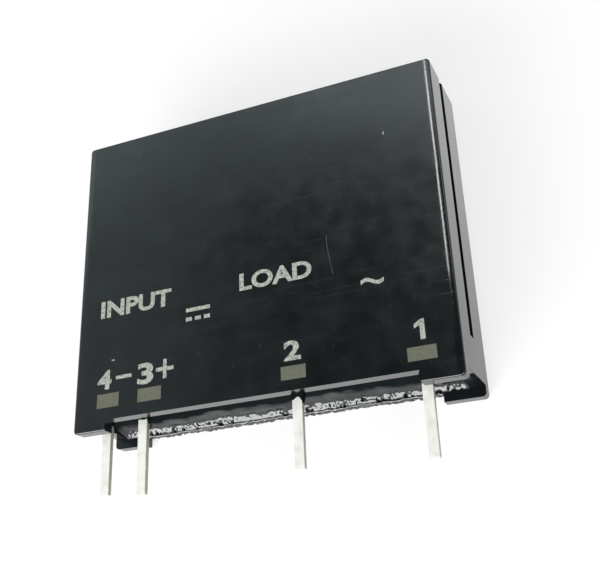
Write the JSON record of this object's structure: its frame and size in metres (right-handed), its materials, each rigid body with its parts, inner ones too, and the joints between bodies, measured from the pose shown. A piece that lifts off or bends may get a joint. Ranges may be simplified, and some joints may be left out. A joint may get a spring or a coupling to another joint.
{
  "type": "solid state relay",
  "caption": "Slim single-in-line relay for circuit boards: flat black moulded case filled with resin, with corner feet and flat tinned terminals along one edge.",
  "frame": {"origin": "centre of the case's flat back face", "axes": "+Z out of the marked front face, +X towards terminal 1, +Y towards the closed top; the terminals point along -Y"},
  "size_m": [0.0244, 0.0239, 0.0055],
  "materials": {
    "case": "black moulded plastic, fine satin",
    "potting": "glossy black casting resin",
    "substrate": "white alumina",
    "conductor": "copper thick film",
    "resistor": "black glazed chip",
    "capacitor": "tan ceramic chip",
    "coupler_body": "black moulded plastic",
    "silicon": "polished silicon",
    "copper": "copper sheet",
    "lead": "tinned metal",
    "solder": "solder",
    "terminal": "tinned strip with sheared brown edges"
  },
  "bodies": {
    "root": {"case": "case", "ceramic_substrate": "substrate", "gate_feed_track": "conductor", "gate_resistor": "resistor", "gate_track": "conductor", "gate_wire": "lead", "heat_spreader": "copper", "input_minus_track": "conductor", "input_plus_track": "conductor", "input_resistor": "resistor", "led_track": "conductor", "line_track": "conductor", "load_track": "conductor", "photocoupler": "coupler_body", "photocoupler_lead_1": "lead", "photocoupler_lead_2": "lead", "photocoupler_lead_3": "lead", "photocoupler_lead_4": "lead", "potting_resin": "potting", "snubber_capacitor": "capacitor", "snubber_resistor": "resistor", "snubber_track": "conductor", "terminal_1": "terminal", "terminal_2": "terminal", "terminal_3": "terminal", "terminal_4": "terminal", "terminal_solder_1": "solder", "terminal_solder_2": "solder", "terminal_solder_3": "solder", "terminal_solder_4": "solder", "triac_bond_clip": "copper", "triac_chip": "silicon", "trigger_feed_track": "conductor", "trigger_resistor": "resistor"}
  },
  "joints": []
}
